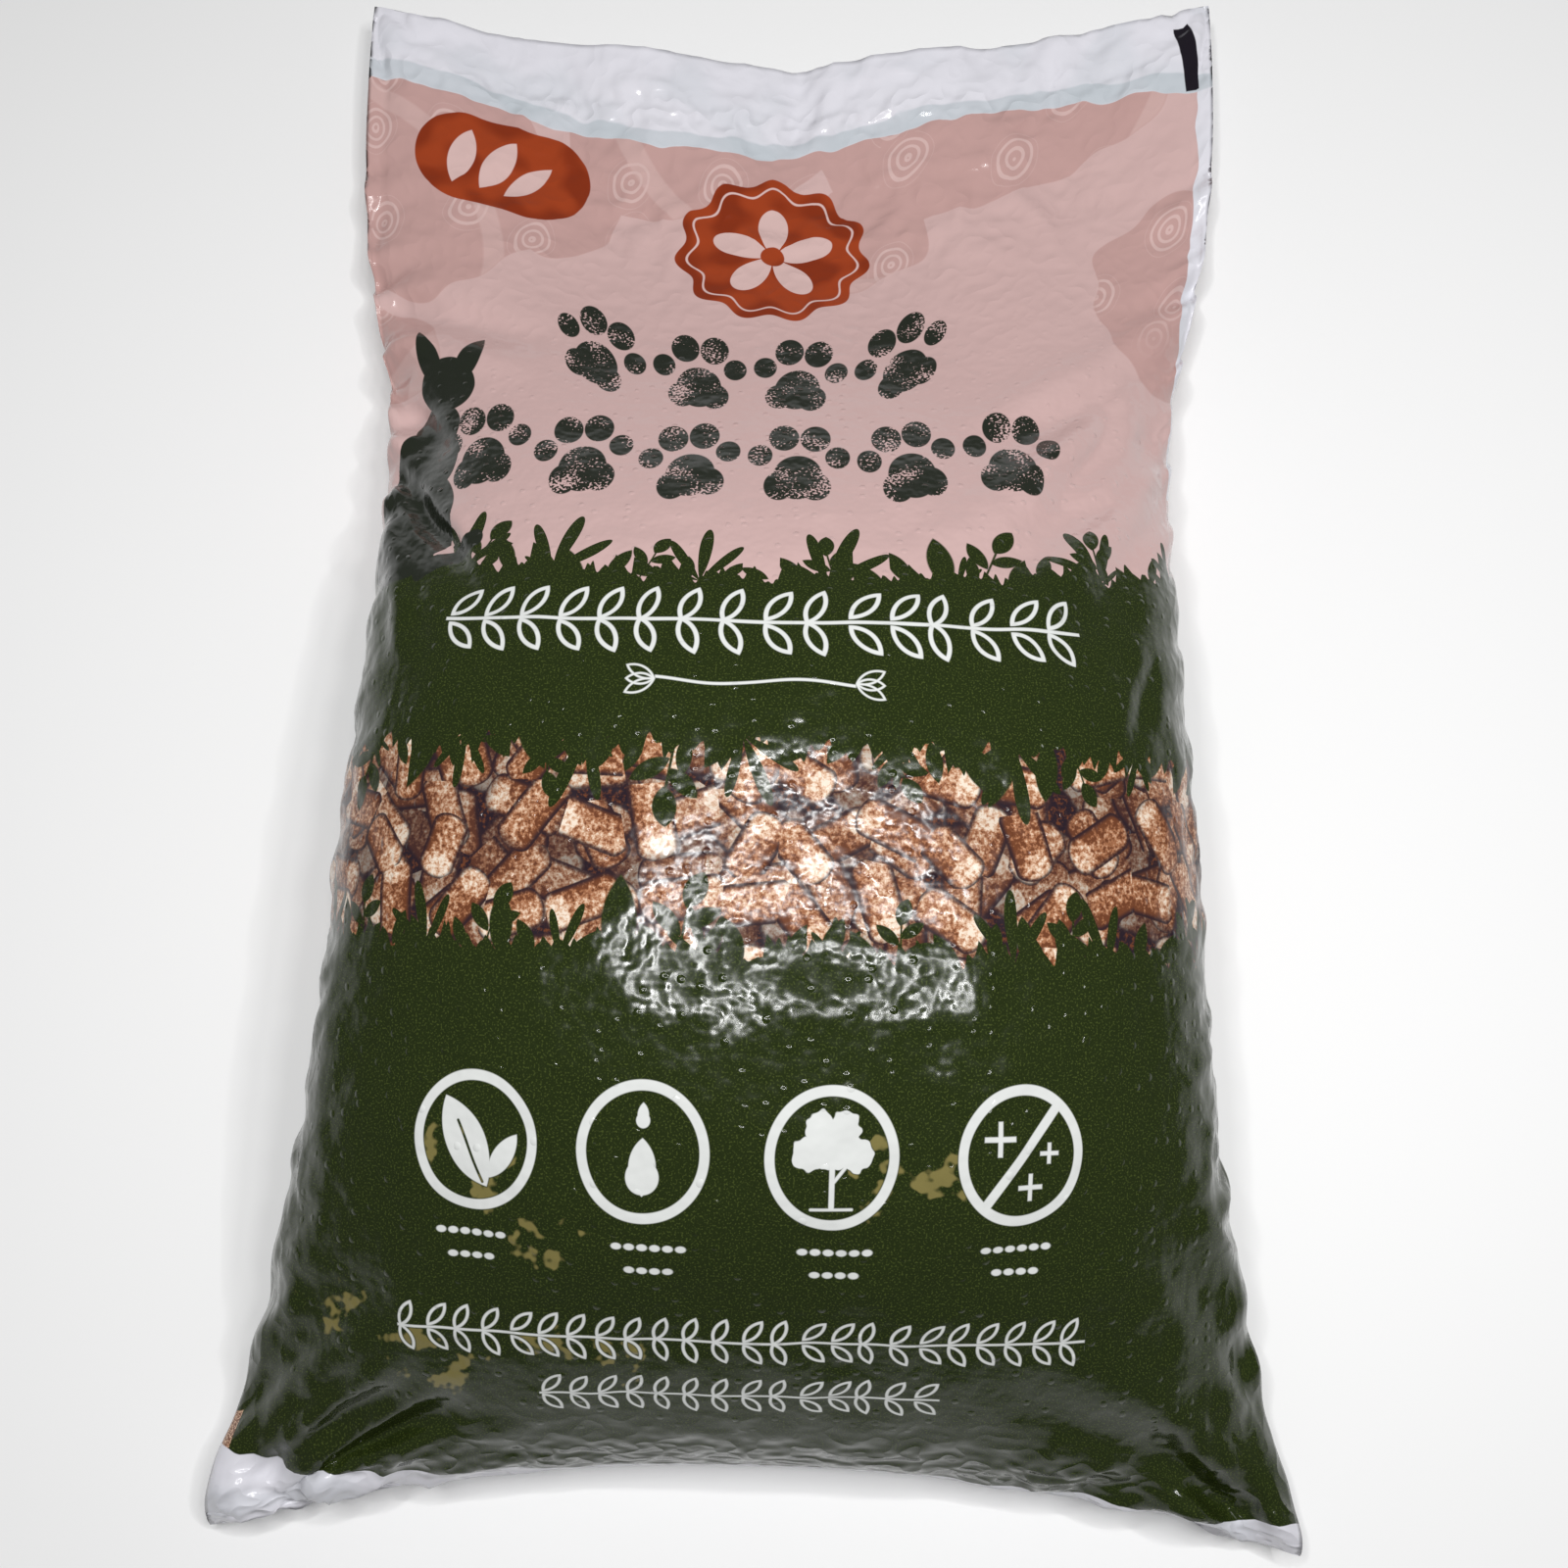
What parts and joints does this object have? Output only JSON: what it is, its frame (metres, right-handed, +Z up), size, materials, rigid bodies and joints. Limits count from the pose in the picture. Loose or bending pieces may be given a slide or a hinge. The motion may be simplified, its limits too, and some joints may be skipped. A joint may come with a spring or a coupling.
{
  "type": "cat litter bag",
  "caption": "Sealed pillow bag of printed plastic film, plump with wood-pellet cat litter and lying on its back with a flat seal strip at the top.",
  "frame": {"origin": "under the middle of the bag's outline, on the surface that it lies on", "axes": "+Z up out of the printed front, +Y towards the top edge of the bag, +X to the right of the print"},
  "size_m": [0.5, 0.8486, 0.1846],
  "materials": {
    "printed_film": "glossy printed polythene film"
  },
  "bodies": {
    "root": {"litter_bag": "printed_film"}
  },
  "joints": []
}
